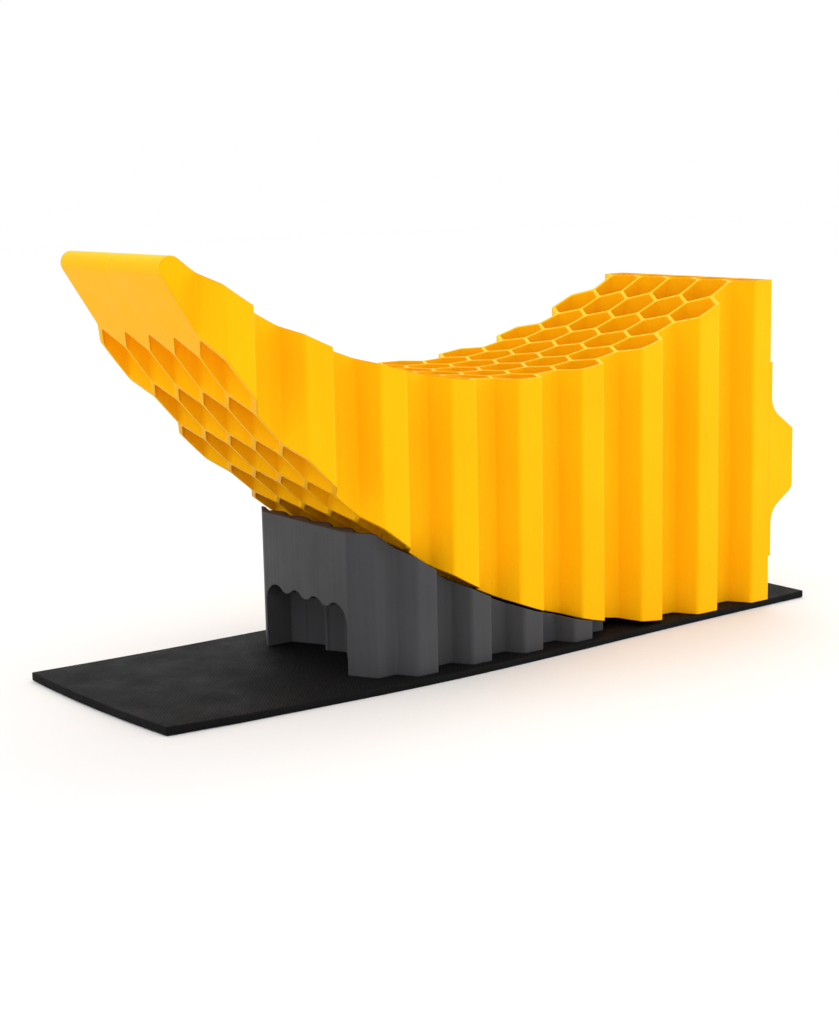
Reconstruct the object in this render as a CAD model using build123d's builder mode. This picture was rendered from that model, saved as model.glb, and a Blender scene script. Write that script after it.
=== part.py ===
from build123d import *
from math import cos, hypot, radians, sin, sqrt, tan
import os

os.makedirs("parts", exist_ok=True)

# A curved tyre leveler: a honeycomb rocker that a trailer wheel rolls up, a honeycomb chock wedged
# under its rocker, and a rubber mat below both. X runs along the length to the tall heel, Y across
# the width, Z up. The origin is under the middle of the mat.

# ---------------------------------------------------------------- driving dimensions, millimetres
mat_length = 480.0
mat_width = 152.0
mat_thickness = 4.0
mat_corner_radius = 1.5
mat_edge_radius = 0.6

lane_y = -4.0                # middle line of leveler and chock, a little nearer one mat edge
running_gap = 0.35           # free play between the rocker and what it stands on

web = 2.0                    # wall between two cells
skin = 2.4                   # outer wall
outer_corner = 3.0           # rounding of the upright outer corners
cell_corner = 3.0            # rounding of the upright corners inside a cell

cell = 27.5                  # leveler cells, measured across
leveler_rows = 17            # rows of 5 and 4 cells in turn, from the heel to the lip
leveler_wide_row = 5
row_pitch = 24.0
heel_setback = 43.0          # from the mat's end to the middle of the heel row
heel_wall = 8.4              # from the heel row to the outer face of the heel wall
heel_height = 207.2

cradle_radius = 352.0        # the tyre sits in this arc
cradle_floor = 161.0         # lowest height of the arc above the mat
cradle_reach = 189.5         # from the heel row to the lowest point of the arc
rocker_radius = 378.6        # the leveler rolls on this arc
rocker_reach = 54.7          # from the heel row to where the arc leaves the flat heel
rocker_angle = radians(34.7)  # sweep of the arc before it runs into a flatter one
tail_radius = 503.0          # the flatter arc, up to the lip
tail_angle = radians(56.5)
lip_slope = radians(58.3)    # straight underside of the lip
nose_radius = 6.5

lug_depth = 19.4             # grip lug across the heel wall
lug_lower_root = 59.0
lug_lower_corner = 71.5
lug_upper_corner = 110.8
lug_upper_root = 125.0
lug_root_radius = 15.0
lug_lower_radius = 7.0
lug_upper_radius = 2.0

chock_cell = 23.4            # chock cells, measured across
chock_pitch = 19.4          # row spacing along the chock
chock_rows = 9               # rows of 5 and 6 cells in turn, a row of 5 at each end
chock_wide_row = 6
chock_reach = 289.3          # from the leveler's heel row to the chock's first row
chock_height = 82.5
chock_end_wall = 16.0        # from the first row to the outer face of the end wall
chock_toe_wall = 8.0         # from the last row to the outer face of the thin end
chock_end_corner = 5.0
bed_shift = Vector(-6.5, 1.2)  # of the bed's arc from the rocker's, so the bed opens towards its top

hand_half_width = 42.8       # opening in the end wall, its top edge waved to fit four fingers
hand_shoulder = 28.0
fingers = 4
finger_spacing = 20.6
wave_peak = 39.9
wave_trough = 36.4

# ---------------------------------------------------------------- places worked out from them
leveler_floor = mat_thickness + running_gap
skin_offset = skin - web / 2
heel_x = mat_length / 2 - heel_setback
heel_face = heel_x + heel_wall
heel_top = leveler_floor + heel_height

leveler_flat = row_pitch - cell / 2 / tan(radians(60))

cradle_centre = Vector(heel_x - cradle_reach, leveler_floor + cradle_floor + cradle_radius)
rocker_centre = Vector(heel_x - rocker_reach, leveler_floor + rocker_radius)
tail_step = tail_radius - rocker_radius
tail_centre = rocker_centre + Vector(tail_step * sin(rocker_angle), tail_step * cos(rocker_angle))

chock_x = heel_x - chock_reach
chock_flat = chock_pitch - chock_cell / 2 / tan(radians(60))
chock_end_x = chock_x - chock_end_wall
chock_toe_x = chock_x + (chock_rows - 1) * chock_pitch + chock_toe_wall
chock_top = mat_thickness + chock_height
bed_radius = rocker_radius + running_gap
bed_centre = rocker_centre + bed_shift


def row_places(middle_x, count, spacing):
    """Middles of one row's cells, evenly spaced about the lane's middle line."""
    return [(middle_x, lane_y + (i - (count - 1) / 2) * spacing) for i in range(count)]


def row_flats(middle_x, half_flat, half_width):
    """Both ends of one row's outer flat, as (x, half width)."""
    return [(middle_x + half_flat, half_width), (middle_x - half_flat, half_width)]


def cell_outline(pitch, flat, width):
    """Corners of a six-sided cell about its own middle, with two flats along X."""
    point_x = pitch - flat / 2
    return [(-point_x, 0), (-flat / 2, -width / 2), (flat / 2, -width / 2),
            (point_x, 0), (flat / 2, width / 2), (-flat / 2, width / 2)]


def closed_outline(flats):
    """Outline from one side's (x, half width) points and their mirror image."""
    near = [(x, lane_y - half) for x, half in flats]
    far = [(x, lane_y + half) for x, half in reversed(flats)]
    return near + far


def on_arc(centre, radius, angle):
    """Point on an arc, at an angle from straight down towards the lip."""
    return centre + Vector(-radius * sin(angle), -radius * cos(angle))


def bed_height(x):
    """Height of the chock's bed arc at a place along the length."""
    return bed_centre.Y - sqrt(bed_radius ** 2 - (bed_centre.X - x) ** 2)


# ---------------------------------------------------------------- mat
with BuildPart() as mat:
    with BuildSketch(Plane.XY):
        RectangleRounded(mat_length, mat_width, mat_corner_radius)
    extrude(amount=mat_thickness)
    fillet(mat.faces().sort_by(Axis.Z)[-1].edges(), radius=mat_edge_radius)

mat.part.label = "mat"
export_step(mat.part, "parts/mat.step")

# ---------------------------------------------------------------- leveler
# Its upright walls follow a corrugated outline: the rows of five cells stand proud of the rows of four.
wide_half = leveler_wide_row * cell / 2
narrow_half = wide_half - cell / 2
leveler_flats = []
for row in range(leveler_rows):
    half_width = wide_half if row % 2 == 0 else narrow_half
    leveler_flats += row_flats(heel_x - row * row_pitch, leveler_flat / 2, half_width)
leveler_flats[0] = (heel_face - skin_offset, wide_half)
lip_root_x = heel_x - leveler_rows * row_pitch + leveler_flat / 2
leveler_flats += [(lip_root_x, narrow_half), (lip_root_x - 2 * cell, narrow_half)]

# The nose circle lies between the cradle arc and the straight underside of the lip, touching both.
lip_start = on_arc(tail_centre, tail_radius, tail_angle)
lip_direction = Vector(-cos(lip_slope), sin(lip_slope))
lip_inward = Vector(sin(lip_slope), cos(lip_slope))
nose_line_start = lip_start + lip_inward * nose_radius
from_cradle = nose_line_start - cradle_centre
along = from_cradle.dot(lip_direction)
beyond = from_cradle.dot(from_cradle) - (cradle_radius + nose_radius) ** 2
nose_centre = nose_line_start + lip_direction * (-along - sqrt(along ** 2 - beyond))
crest = nose_centre + (cradle_centre - nose_centre).normalized() * nose_radius
nose_tip = nose_centre + lip_direction * nose_radius
lip_end = nose_centre - lip_inward * nose_radius

plateau_x = cradle_centre.X + sqrt(cradle_radius ** 2 - (cradle_centre.Y - heel_top) ** 2)
cradle_low = cradle_centre - Vector(0, cradle_radius)
rocker_start = on_arc(rocker_centre, rocker_radius, 0)
rocker_middle = on_arc(rocker_centre, rocker_radius, rocker_angle / 2)
tail_start = on_arc(rocker_centre, rocker_radius, rocker_angle)
tail_middle = on_arc(tail_centre, tail_radius, (rocker_angle + tail_angle) / 2)

lug_face = heel_face + lug_depth
lug_half_width = wide_half + skin_offset
lug_roof = skin * hypot(lug_depth, lug_upper_root - lug_upper_corner) / lug_depth

with BuildPart() as leveler:
    with BuildSketch(Plane.XY) as leveler_plan:
        with BuildLine():
            Polyline(*closed_outline(leveler_flats), close=True)
        make_face()
        offset(amount=skin_offset, kind=Kind.INTERSECTION)
        fillet(leveler_plan.vertices(), radius=outer_corner)
        for row in range(leveler_rows):
            with BuildSketch(mode=Mode.PRIVATE) as cell_shape:
                with BuildLine():
                    Polyline(*cell_outline(row_pitch, leveler_flat, cell), close=True)
                make_face()
                offset(amount=-web / 2, kind=Kind.INTERSECTION)
                if row == 0:
                    with Locations((heel_wall - skin, 0)):
                        Rectangle(cell, cell, align=(Align.MIN, Align.CENTER), mode=Mode.SUBTRACT)
                fillet(cell_shape.vertices(), radius=cell_corner)
            with Locations(*row_places(heel_x - row * row_pitch, leveler_wide_row - row % 2, cell)):
                add(cell_shape.sketch, mode=Mode.SUBTRACT)
    extrude(amount=crest.Y + cell)

    # Side profile: heel, plateau, cradle arc, rounded nose, straight underside of the lip, rocker arcs.
    with BuildSketch(Plane.XZ):
        with BuildLine():
            Polyline(rocker_start, (heel_face, leveler_floor), (heel_face, heel_top),
                     (plateau_x, heel_top))
            ThreePointArc((plateau_x, heel_top), cradle_low, crest)
            ThreePointArc(crest, nose_tip, lip_end)
            Line(lip_end, lip_start)
            ThreePointArc(lip_start, tail_middle, tail_start)
            ThreePointArc(tail_start, rocker_middle, rocker_start)
        make_face()
    extrude(amount=mat_width, both=True, mode=Mode.INTERSECT)

    # The grip lug is a shell across the heel wall, open below, with a rib in line with each cell wall.
    with BuildSketch(Plane.XZ.offset(-lane_y)) as lug_profile:
        with BuildLine():
            Polyline((heel_face, leveler_floor + lug_lower_root),
                     (lug_face, leveler_floor + lug_lower_corner),
                     (lug_face, leveler_floor + lug_upper_corner),
                     (heel_face, leveler_floor + lug_upper_root), close=True)
        make_face()
        with Locations((heel_face, leveler_floor + (lug_lower_root + lug_upper_root) / 2)):
            Rectangle(skin, lug_upper_root - lug_lower_root + 4 * lug_root_radius,
                      align=(Align.MAX, Align.CENTER))
        corners = lug_profile.vertices().group_by(Axis.X)[-1].sort_by(Axis.Y)
        fillet(corners[0], radius=lug_lower_radius)
        fillet(corners[-1], radius=lug_upper_radius)
        roots = lug_profile.vertices().filter_by_position(Axis.X, heel_face, heel_face).sort_by(Axis.Y)
        fillet(roots[1:3], radius=lug_root_radius)
    extrude(amount=lug_half_width, both=True)
    for _, rib_bay_y in row_places(0, leveler_wide_row, cell):
        with BuildSketch(Plane.XZ.offset(-rib_bay_y)) as bay_profile:
            with BuildLine():
                Polyline((heel_face, leveler_floor + lug_lower_root - lug_depth),
                         (lug_face - skin, leveler_floor + lug_lower_root - lug_depth),
                         (lug_face - skin, leveler_floor + lug_upper_corner - lug_roof),
                         (heel_face, leveler_floor + lug_upper_root - lug_roof), close=True)
            make_face()
            fillet(bay_profile.vertices(), radius=lug_upper_radius)
        extrude(amount=(cell - web) / 2, both=True, mode=Mode.SUBTRACT)

leveler.part.label = "leveler"
export_step(leveler.part, "parts/leveler.step")

# ---------------------------------------------------------------- chock
chock_wide_half = chock_wide_row * chock_cell / 2
chock_narrow_half = chock_wide_half - chock_cell / 2
chock_flats = []
for row in range(chock_rows):
    half_width = chock_narrow_half if row % 2 == 0 else chock_wide_half
    chock_flats += reversed(row_flats(chock_x + row * chock_pitch, chock_flat / 2, half_width))
chock_flats[-1] = (chock_toe_x - skin_offset, chock_narrow_half)
end_inner_x = chock_end_x + skin_offset
end_half = chock_narrow_half - (chock_flats[0][0] - end_inner_x) * tan(radians(60))
chock_flats.insert(0, (end_inner_x, end_half))

bed_start_x = bed_centre.X - sqrt(bed_radius ** 2 - (bed_centre.Y - chock_top) ** 2)
toe_top = bed_height(chock_toe_x)
bed_middle_x = (bed_start_x + chock_toe_x) / 2
bed_middle = (bed_middle_x, bed_height(bed_middle_x))

# The hand room runs back from the end wall to the walls between the first two rows. Its side walls
# follow the opening, then slant in to the corner of a cell.
room_back_x = chock_x + chock_flat / 2 - web / 2
room_back_half = chock_narrow_half - chock_cell
slant_run = (hand_half_width - room_back_half) / tan(radians(60))
room_plan = [(chock_end_x, hand_half_width), (room_back_x - slant_run, hand_half_width),
             (room_back_x, room_back_half)]
side_wall = [(end_inner_x, hand_half_width), (room_back_x - slant_run, hand_half_width),
             (room_back_x, room_back_half), (room_back_x + web / sin(radians(60)), room_back_half),
             (room_back_x - slant_run + web * tan(radians(30)), hand_half_width + web),
             (end_inner_x, hand_half_width + web)]
room_roof = mat_thickness + wave_peak + web
wave_middle = (wave_peak + wave_trough) / 2
outer_peak = (fingers - 1) / 2 * finger_spacing
shoulder_run = (hand_half_width - outer_peak) * cos(radians(45))
shoulder_rise = (wave_peak - hand_shoulder) * sin(radians(45))

with BuildPart() as chock:
    with BuildSketch(Plane.XY) as chock_plan:
        with BuildLine():
            Polyline(*closed_outline(chock_flats), close=True)
        make_face()
        offset(amount=skin_offset, kind=Kind.INTERSECTION)
        end_corners = chock_plan.vertices().group_by(Axis.X)[0]
        fillet(end_corners, radius=chock_end_corner)
        other_corners = chock_plan.vertices().filter_by(lambda v: v.X > chock_x - chock_pitch / 2)
        fillet(other_corners, radius=outer_corner)
        for row in range(chock_rows):
            with BuildSketch(mode=Mode.PRIVATE) as chock_cell_shape:
                with BuildLine():
                    Polyline(*cell_outline(chock_pitch, chock_flat, chock_cell), close=True)
                make_face()
                offset(amount=-web / 2, kind=Kind.INTERSECTION)
                if row == chock_rows - 1:
                    with Locations((chock_toe_wall - skin, 0)):
                        Rectangle(cell, cell, align=(Align.MIN, Align.CENTER), mode=Mode.SUBTRACT)
                fillet(chock_cell_shape.vertices(), radius=cell_corner)
            count = chock_wide_row - 1 + row % 2
            with Locations(*row_places(chock_x + row * chock_pitch, count, chock_cell)):
                add(chock_cell_shape.sketch, mode=Mode.SUBTRACT)
    extrude(amount=chock_top + chock_cell)

    # Side profile: flat top by the end wall, then a bed for the rocker down to the thin toe.
    with BuildSketch(Plane.XZ):
        with BuildLine():
            Polyline((chock_toe_x, toe_top), (chock_toe_x, mat_thickness), (chock_end_x, mat_thickness),
                     (chock_end_x, chock_top), (bed_start_x, chock_top))
            ThreePointArc((bed_start_x, chock_top), bed_middle, (chock_toe_x, toe_top))
        make_face()
    extrude(amount=mat_width, both=True, mode=Mode.INTERSECT)

    # A roof closes the first row's cells above the hand room, and two side walls stand under it.
    with BuildSketch(Plane.XY.offset(room_roof)):
        with BuildSketch(mode=Mode.PRIVATE) as roof_tile:
            with BuildLine():
                Polyline(*cell_outline(chock_pitch, chock_flat, chock_cell), close=True)
            make_face()
        with Locations(*row_places(chock_x, chock_wide_row - 1, chock_cell)):
            add(roof_tile.sketch)
    extrude(amount=web)
    with BuildSketch(Plane.XY.offset(mat_thickness)):
        for side in (-1, 1):
            with BuildLine():
                Polyline(*[(x, lane_y + side * half) for x, half in side_wall], close=True)
            make_face()
    extrude(amount=room_roof - mat_thickness + web / 2)

    # The room is cleared under a waved top edge: one arc for each finger, one between each two.
    with BuildPart(mode=Mode.PRIVATE) as hand_room:
        with BuildSketch(Plane.YZ.offset(chock_end_x)):
            with BuildSketch(mode=Mode.PRIVATE) as arch:
                with BuildLine():
                    Polyline((hand_half_width, hand_shoulder), (hand_half_width, 0),
                             (-hand_half_width, 0), (-hand_half_width, hand_shoulder))
                    for side in (-1, 1):
                        peak = (side * outer_peak, wave_peak)
                        shoulder = (side * (outer_peak + shoulder_run), hand_shoulder + shoulder_rise)
                        ThreePointArc((side * hand_half_width, hand_shoulder), shoulder, peak)
                        TangentArc(peak, (side * (outer_peak - finger_spacing / 4), wave_middle),
                                   tangent=(-side, 0))
                    for half_wave in range(2 * fingers - 3):
                        start = -outer_peak + (half_wave + 0.5) * finger_spacing / 2
                        height = wave_trough if half_wave % 2 == 0 else wave_peak
                        ThreePointArc((start, wave_middle), (start + finger_spacing / 4, height),
                                      (start + finger_spacing / 2, wave_middle))
                make_face()
            with Locations((lane_y, mat_thickness)):
                add(arch.sketch)
        extrude(amount=room_back_x - chock_end_x)
        with BuildSketch(Plane.XY):
            with BuildLine():
                Polyline(*closed_outline(room_plan), close=True)
            make_face()
        extrude(amount=chock_top, mode=Mode.INTERSECT)
    add(hand_room.part, mode=Mode.SUBTRACT)

chock.part.label = "chock"
export_step(chock.part, "parts/chock.step")
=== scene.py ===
import math

import bpy
from mathutils import Matrix, Vector


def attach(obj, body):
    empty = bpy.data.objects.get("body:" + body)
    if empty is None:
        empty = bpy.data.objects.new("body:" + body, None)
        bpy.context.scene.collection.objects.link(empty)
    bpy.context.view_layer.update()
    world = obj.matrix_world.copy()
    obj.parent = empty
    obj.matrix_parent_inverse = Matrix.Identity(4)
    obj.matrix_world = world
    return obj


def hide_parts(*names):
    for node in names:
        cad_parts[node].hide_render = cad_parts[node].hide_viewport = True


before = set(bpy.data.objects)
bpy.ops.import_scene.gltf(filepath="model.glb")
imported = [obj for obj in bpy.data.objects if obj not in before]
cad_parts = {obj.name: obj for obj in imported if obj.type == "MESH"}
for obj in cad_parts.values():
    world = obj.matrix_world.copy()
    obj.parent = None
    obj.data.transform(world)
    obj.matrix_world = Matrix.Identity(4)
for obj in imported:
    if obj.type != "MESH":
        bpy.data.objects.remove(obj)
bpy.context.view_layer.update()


# ---------------------------------------------------------------- camera
CAMERA_PLACE = Vector((-0.67448, -0.89382, 0.28535))
CAMERA_YAW = 0.940073        # from +X towards +Y
CAMERA_PITCH = 0.182887      # downwards
CAMERA_ROLL = -0.021503
CAMERA_LENS = 65.29


def add_camera():
    """A camera at the product view, looking along the length from the lip's end."""
    forward = Vector((math.cos(CAMERA_YAW) * math.cos(CAMERA_PITCH),
                      math.sin(CAMERA_YAW) * math.cos(CAMERA_PITCH), -math.sin(CAMERA_PITCH)))
    level = Vector((math.sin(CAMERA_YAW), -math.cos(CAMERA_YAW), 0))
    upright = level.cross(forward)
    right = math.cos(CAMERA_ROLL) * level + math.sin(CAMERA_ROLL) * upright
    up = -math.sin(CAMERA_ROLL) * level + math.cos(CAMERA_ROLL) * upright
    data = bpy.data.cameras.new("camera")
    data.lens = CAMERA_LENS
    data.sensor_width = 36
    camera = bpy.data.objects.new("camera", data)
    turn = Matrix((right, up, -forward)).transposed().to_4x4()
    camera.matrix_world = Matrix.Translation(CAMERA_PLACE) @ turn
    bpy.context.scene.collection.objects.link(camera)
    bpy.context.scene.camera = camera


# ---------------------------------------------------------------- node helpers
def new_material(name):
    material = bpy.data.materials.new(name)
    material.use_nodes = True
    return material, material.node_tree, material.node_tree.nodes["Principled BSDF"]


def stretched(tree, scale):
    """Object coordinates scaled by axis."""
    place = tree.nodes.new("ShaderNodeTexCoord")
    mapping = tree.nodes.new("ShaderNodeMapping")
    mapping.inputs["Scale"].default_value = scale
    tree.links.new(place.outputs["Object"], mapping.inputs["Vector"])
    return mapping.outputs["Vector"]


def noise(tree, vector, scale, detail=3.0, roughness=0.5):
    node = tree.nodes.new("ShaderNodeTexNoise")
    node.inputs["Scale"].default_value = scale
    node.inputs["Detail"].default_value = detail
    node.inputs["Roughness"].default_value = roughness
    tree.links.new(vector, node.inputs["Vector"])
    return node.outputs["Fac"]


def span(tree, value, low, high, new_low, new_high):
    """A value moved from one range to another, held at the ends."""
    node = tree.nodes.new("ShaderNodeMapRange")
    node.clamp = True
    node.inputs["From Min"].default_value = low
    node.inputs["From Max"].default_value = high
    node.inputs["To Min"].default_value = new_low
    node.inputs["To Max"].default_value = new_high
    tree.links.new(value, node.inputs["Value"])
    return node.outputs["Result"]


def maths(tree, operation, first, second):
    """A sum, product or other step on two values, either of which may be a plain number."""
    node = tree.nodes.new("ShaderNodeMath")
    node.operation = operation
    for socket, value in zip(node.inputs, (first, second)):
        if isinstance(value, (int, float)):
            socket.default_value = value
        else:
            tree.links.new(value, socket)
    return node.outputs["Value"]


def blend_colours(tree, factor, first, second):
    """A mix of two colours, each a tuple or another node's output."""
    node = tree.nodes.new("ShaderNodeMix")
    node.data_type = "RGBA"
    tree.links.new(factor, node.inputs["Factor"])
    for socket, value in ((node.inputs[6], first), (node.inputs[7], second)):
        if isinstance(value, tuple):
            socket.default_value = (*value, 1)
        else:
            tree.links.new(value, socket)
    return node.outputs[2]


def bump(tree, height, distance, normal=None):
    node = tree.nodes.new("ShaderNodeBump")
    node.inputs["Strength"].default_value = 1.0
    node.inputs["Distance"].default_value = distance
    tree.links.new(height, node.inputs["Height"])
    if normal is not None:
        tree.links.new(normal, node.inputs["Normal"])
    return node.outputs["Normal"]


def rounded_edges(tree, radius):
    """A normal that rounds sharp edges, and a mask that is 1 on them."""
    bevel = tree.nodes.new("ShaderNodeBevel")
    bevel.samples = 6
    bevel.inputs["Radius"].default_value = radius
    geometry = tree.nodes.new("ShaderNodeNewGeometry")
    dot = tree.nodes.new("ShaderNodeVectorMath")
    dot.operation = "DOT_PRODUCT"
    tree.links.new(bevel.outputs["Normal"], dot.inputs[0])
    tree.links.new(geometry.outputs["Normal"], dot.inputs[1])
    mask = span(tree, dot.outputs["Value"], 0.80, 0.995, 1.0, 0.0)
    return bevel.outputs["Normal"], mask


# ---------------------------------------------------------------- stage and light
FLOOR_HALF = 6.0
FLOOR_GREY = 0.71
DOME_HORIZON = 1.0           # strength of the dome at the horizon
DOME_RISE = 0.9              # its square is added overhead


def add_floor():
    """A wide pale floor under the mat."""
    mesh = bpy.data.meshes.new("floor")
    half = FLOOR_HALF
    corners = [(-half, -half, 0), (half, -half, 0), (half, half, 0), (-half, half, 0)]
    mesh.from_pydata(corners, [], [(0, 1, 2, 3)])
    floor = bpy.data.objects.new("floor", mesh)
    bpy.context.scene.collection.objects.link(floor)
    material = bpy.data.materials.new("floor")
    material.use_nodes = True
    shader = material.node_tree.nodes["Principled BSDF"]
    shader.inputs["Base Color"].default_value = (FLOOR_GREY, FLOOR_GREY, FLOOR_GREY, 1)
    shader.inputs["Roughness"].default_value = 0.8
    shader.inputs["Specular IOR Level"].default_value = 0.1
    mesh.materials.append(material)


def add_softbox(name, place, target, size, power):
    """A square area light that faces its target."""
    data = bpy.data.lights.new(name, "AREA")
    data.shape = "SQUARE"
    data.size = size
    data.energy = power
    light = bpy.data.objects.new(name, data)
    light.location = place
    light.rotation_euler = (Vector(target) - Vector(place)).to_track_quat("-Z", "Y").to_euler()
    bpy.context.scene.collection.objects.link(light)


def add_lights():
    """A white dome, brighter overhead than at the horizon, and three softboxes."""
    world = bpy.data.worlds.new("studio")
    bpy.context.scene.world = world
    world.use_nodes = True
    tree = world.node_tree
    background = tree.nodes["Background"]
    background.inputs["Color"].default_value = (1, 1, 1, 1)
    place = tree.nodes.new("ShaderNodeTexCoord")
    split = tree.nodes.new("ShaderNodeSeparateXYZ")
    tree.links.new(place.outputs["Generated"], split.inputs["Vector"])
    rise = span(tree, split.outputs["Z"], 0.0, 1.0, 0.0, DOME_RISE)
    rise = maths(tree, "MULTIPLY", rise, rise)
    tree.links.new(maths(tree, "ADD", rise, DOME_HORIZON), background.inputs["Strength"])
    add_softbox("heel_end", (1.6, -1.2, 0.45), (0, 0, 0.1), 1.0, 8)
    add_softbox("lip_end", (-1.6, 0.25, 0.25), (-0.1, 0, 0.15), 0.8, 1.8)
    add_softbox("back", (0.9, 0.9, 2.1), (0, 0, 0), 1.2, 10)


# ---------------------------------------------------------------- materials
LEVELER_YELLOW = (0.97, 0.485, 0.004)
LEVELER_DEEP = (0.93, 0.445, 0.003)
# lighter yellow laid on sharp edges: edge wear plus a painted rim highlight
LEVELER_WEAR_AND_RIM_HIGHLIGHT = (1.0, 0.57, 0.02)
CHOCK_GREY = (0.066, 0.066, 0.070)
CHOCK_DEEP = (0.056, 0.056, 0.060)
# lighter grey laid on sharp edges: edge wear plus a painted rim highlight
CHOCK_WEAR_AND_RIM_HIGHLIGHT = (0.12, 0.12, 0.125)
RUBBER_BLACK = (0.003, 0.003, 0.0032)
RUBBER_DUSTY = (0.0145, 0.0145, 0.015)
EDGE_ROUNDING = 0.0009
WEAVE_SLANT = 40             # degrees each way from the mat's length
WEAVE_SCALE = 185


def moulded_plastic(name, colour, deep, wear_and_rim_highlight, roughness, sheen):
    """Satin moulded plastic: cloudy colour, upright drag marks, fine grain, and sharp edges lightened,
    partly as wear and partly as a painted rim highlight.
    """
    material, tree, shader = new_material(name)
    links = tree.links
    even = stretched(tree, (1, 1, 1))
    upright = stretched(tree, (1, 1, 0.04))
    cloud = noise(tree, even, 14, 4)
    drag = noise(tree, upright, 420, 2)
    grain = noise(tree, even, 1500, 2, 0.6)
    smudge = noise(tree, even, 45, 5, 0.65)
    edge_normal, edge_mask = rounded_edges(tree, EDGE_ROUNDING)

    clouded = maths(tree, "ADD", cloud, maths(tree, "MULTIPLY", drag, 0.35))
    deeper = span(tree, clouded, 0.5, 0.85, 0.0, 1.0)
    base = blend_colours(tree, deeper, colour, deep)
    # patchy lighter colour on sharp edges: edge wear plus a painted rim highlight
    wear_and_highlight_mask = maths(tree, "MULTIPLY", edge_mask, span(tree, smudge, 0.35, 0.7, 0.05, 0.38))
    links.new(blend_colours(tree, wear_and_highlight_mask, base, wear_and_rim_highlight), shader.inputs["Base Color"])

    low, high = roughness
    rough = span(tree, smudge, 0.3, 0.7, low, high)
    rough_edges = maths(tree, "ADD", rough, maths(tree, "MULTIPLY", wear_and_highlight_mask, 0.12))
    links.new(rough_edges, shader.inputs["Roughness"])
    shader.inputs["Specular IOR Level"].default_value = sheen
    shader.inputs["Specular Tint"].default_value = (*colour, 1)
    marks = bump(tree, drag, 0.00012, edge_normal)
    links.new(bump(tree, grain, 0.00006, marks), shader.inputs["Normal"])
    return material


def woven_rubber(name):
    """Matt black rubber, its upper face pressed with a fine slanting weave, dusty on the high spots."""
    material, tree, shader = new_material(name)
    links = tree.links
    even = stretched(tree, (1, 1, 1))
    heights = []
    for slant in (1, -1):
        mapping = tree.nodes.new("ShaderNodeMapping")
        mapping.inputs["Rotation"].default_value = (0, 0, slant * math.radians(WEAVE_SLANT))
        links.new(even, mapping.inputs["Vector"])
        wave = tree.nodes.new("ShaderNodeTexWave")
        wave.inputs["Scale"].default_value = WEAVE_SCALE
        wave.inputs["Distortion"].default_value = 1.4
        wave.inputs["Detail"].default_value = 1.0
        wave.inputs["Detail Scale"].default_value = 2.0
        links.new(mapping.outputs["Vector"], wave.inputs["Vector"])
        heights.append(wave.outputs["Fac"])
    split = tree.nodes.new("ShaderNodeSeparateXYZ")
    links.new(tree.nodes.new("ShaderNodeNewGeometry").outputs["Normal"], split.inputs["Vector"])
    upward = span(tree, split.outputs["Z"], 0.7, 0.95, 0.0, 1.0)
    weave = maths(tree, "MULTIPLY", maths(tree, "MULTIPLY", heights[0], heights[1]), upward)
    grain = noise(tree, even, 2200, 2, 0.6)
    dust = noise(tree, even, 30, 6, 0.7)
    high_weave = span(tree, weave, 0.3, 0.9, 0.0, 1.0)
    high_spots = maths(tree, "MULTIPLY", high_weave, span(tree, dust, 0.35, 0.7, 0.2, 1.0))
    rubber_colour = blend_colours(tree, high_spots, RUBBER_BLACK, RUBBER_DUSTY)
    links.new(rubber_colour, shader.inputs["Base Color"])
    links.new(span(tree, dust, 0.3, 0.7, 0.55, 0.8), shader.inputs["Roughness"])
    shader.inputs["Specular IOR Level"].default_value = 0.09
    woven = bump(tree, weave, 0.0003)
    links.new(bump(tree, grain, 0.00005, woven), shader.inputs["Normal"])
    return material


def dress(node, material):
    """One material for a whole CAD node."""
    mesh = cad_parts[node].data
    mesh.materials.clear()
    mesh.materials.append(material)


# ---------------------------------------------------------------- mat
MAT_COLUMNS = 240
MAT_ROWS = 76
MAT_EDGE = 0.0007


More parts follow.
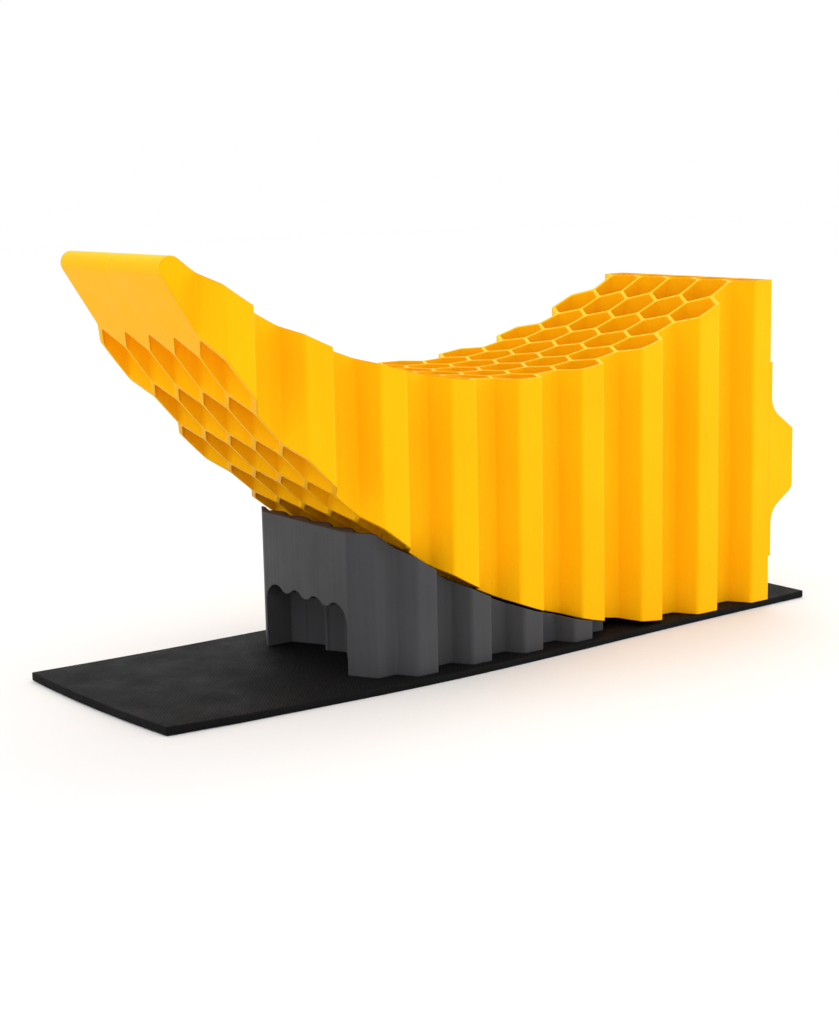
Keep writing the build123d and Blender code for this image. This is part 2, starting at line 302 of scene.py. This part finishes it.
def mat_place(u, v, top):
    """A point of the sheet's underside or top: u along the length and v across the width, 0 to 1."""
    near = -0.0726 - 0.0104 * math.exp(-((u - 0.385) / (0.30 if u < 0.385 else 0.354)) ** 2)
    near += 0.0025 * max(0.0, 1 - 12 * u)
    far = 0.0745 + 0.001 * math.sin(math.pi * u)
    y = near + v * (far - near)
    lip_end = -0.2464 + 0.52 * (0.05 - y) ** 2
    x = lip_end + u * (0.2385 - lip_end)
    curl = max(0.0, 1 - 4 * u) ** 2 + 0.7 * max(0.0, 8 * u - 7) ** 2
    lift = 0.0004 * curl
    return Vector((x, y, lift + top * (0.0040 + 0.0008 * curl)))


def build_mat(material):
    """A thin rubber sheet, a little bowed and skewed, with softened edges."""
    vertices = []
    faces = []
    for level in (0, 1):
        for i in range(MAT_COLUMNS + 1):
            for j in range(MAT_ROWS + 1):
                vertices.append(mat_place(i / MAT_COLUMNS, j / MAT_ROWS, level))
    rows = MAT_ROWS + 1
    layer = (MAT_COLUMNS + 1) * rows
    for i in range(MAT_COLUMNS):
        for j in range(MAT_ROWS):
            a = i * rows + j
            faces.append((a, a + 1, a + rows + 1, a + rows))
            faces.append((layer + a, layer + a + rows, layer + a + rows + 1, layer + a + 1))
    for i in range(MAT_COLUMNS):
        for j, flip in ((0, False), (MAT_ROWS, True)):
            a = i * rows + j
            side = (a, a + rows, layer + a + rows, layer + a)
            faces.append(side[::-1] if flip else side)
    for j in range(MAT_ROWS):
        for i, flip in ((0, True), (MAT_COLUMNS, False)):
            a = i * rows + j
            side = (a, a + 1, layer + a + 1, layer + a)
            faces.append(side[::-1] if flip else side)
    mesh = bpy.data.meshes.new("rubber_sheet")
    mesh.from_pydata(vertices, [], faces)
    mesh.update()
    sheet = bpy.data.objects.new("rubber_sheet", mesh)
    bpy.context.scene.collection.objects.link(sheet)
    bevel = sheet.modifiers.new("soft_edges", "BEVEL")
    bevel.width = MAT_EDGE
    bevel.segments = 3
    bevel.limit_method = "ANGLE"
    bevel.angle_limit = math.radians(60)
    for polygon in mesh.polygons:
        polygon.use_smooth = True
    mesh.materials.append(material)
    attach(sheet, "mat")
    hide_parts("mat")


add_camera()
add_floor()
add_lights()
dress("leveler", moulded_plastic("leveler_plastic", LEVELER_YELLOW, LEVELER_DEEP, LEVELER_WEAR_AND_RIM_HIGHLIGHT,
                                 (0.38, 0.55), 0.05))
dress("chock", moulded_plastic("chock_plastic", CHOCK_GREY, CHOCK_DEEP, CHOCK_WEAR_AND_RIM_HIGHLIGHT, (0.42, 0.6), 0.3))
rubber = woven_rubber("mat_rubber")
dress("mat", rubber)
build_mat(rubber)
bpy.context.scene.view_settings.view_transform = "Standard"
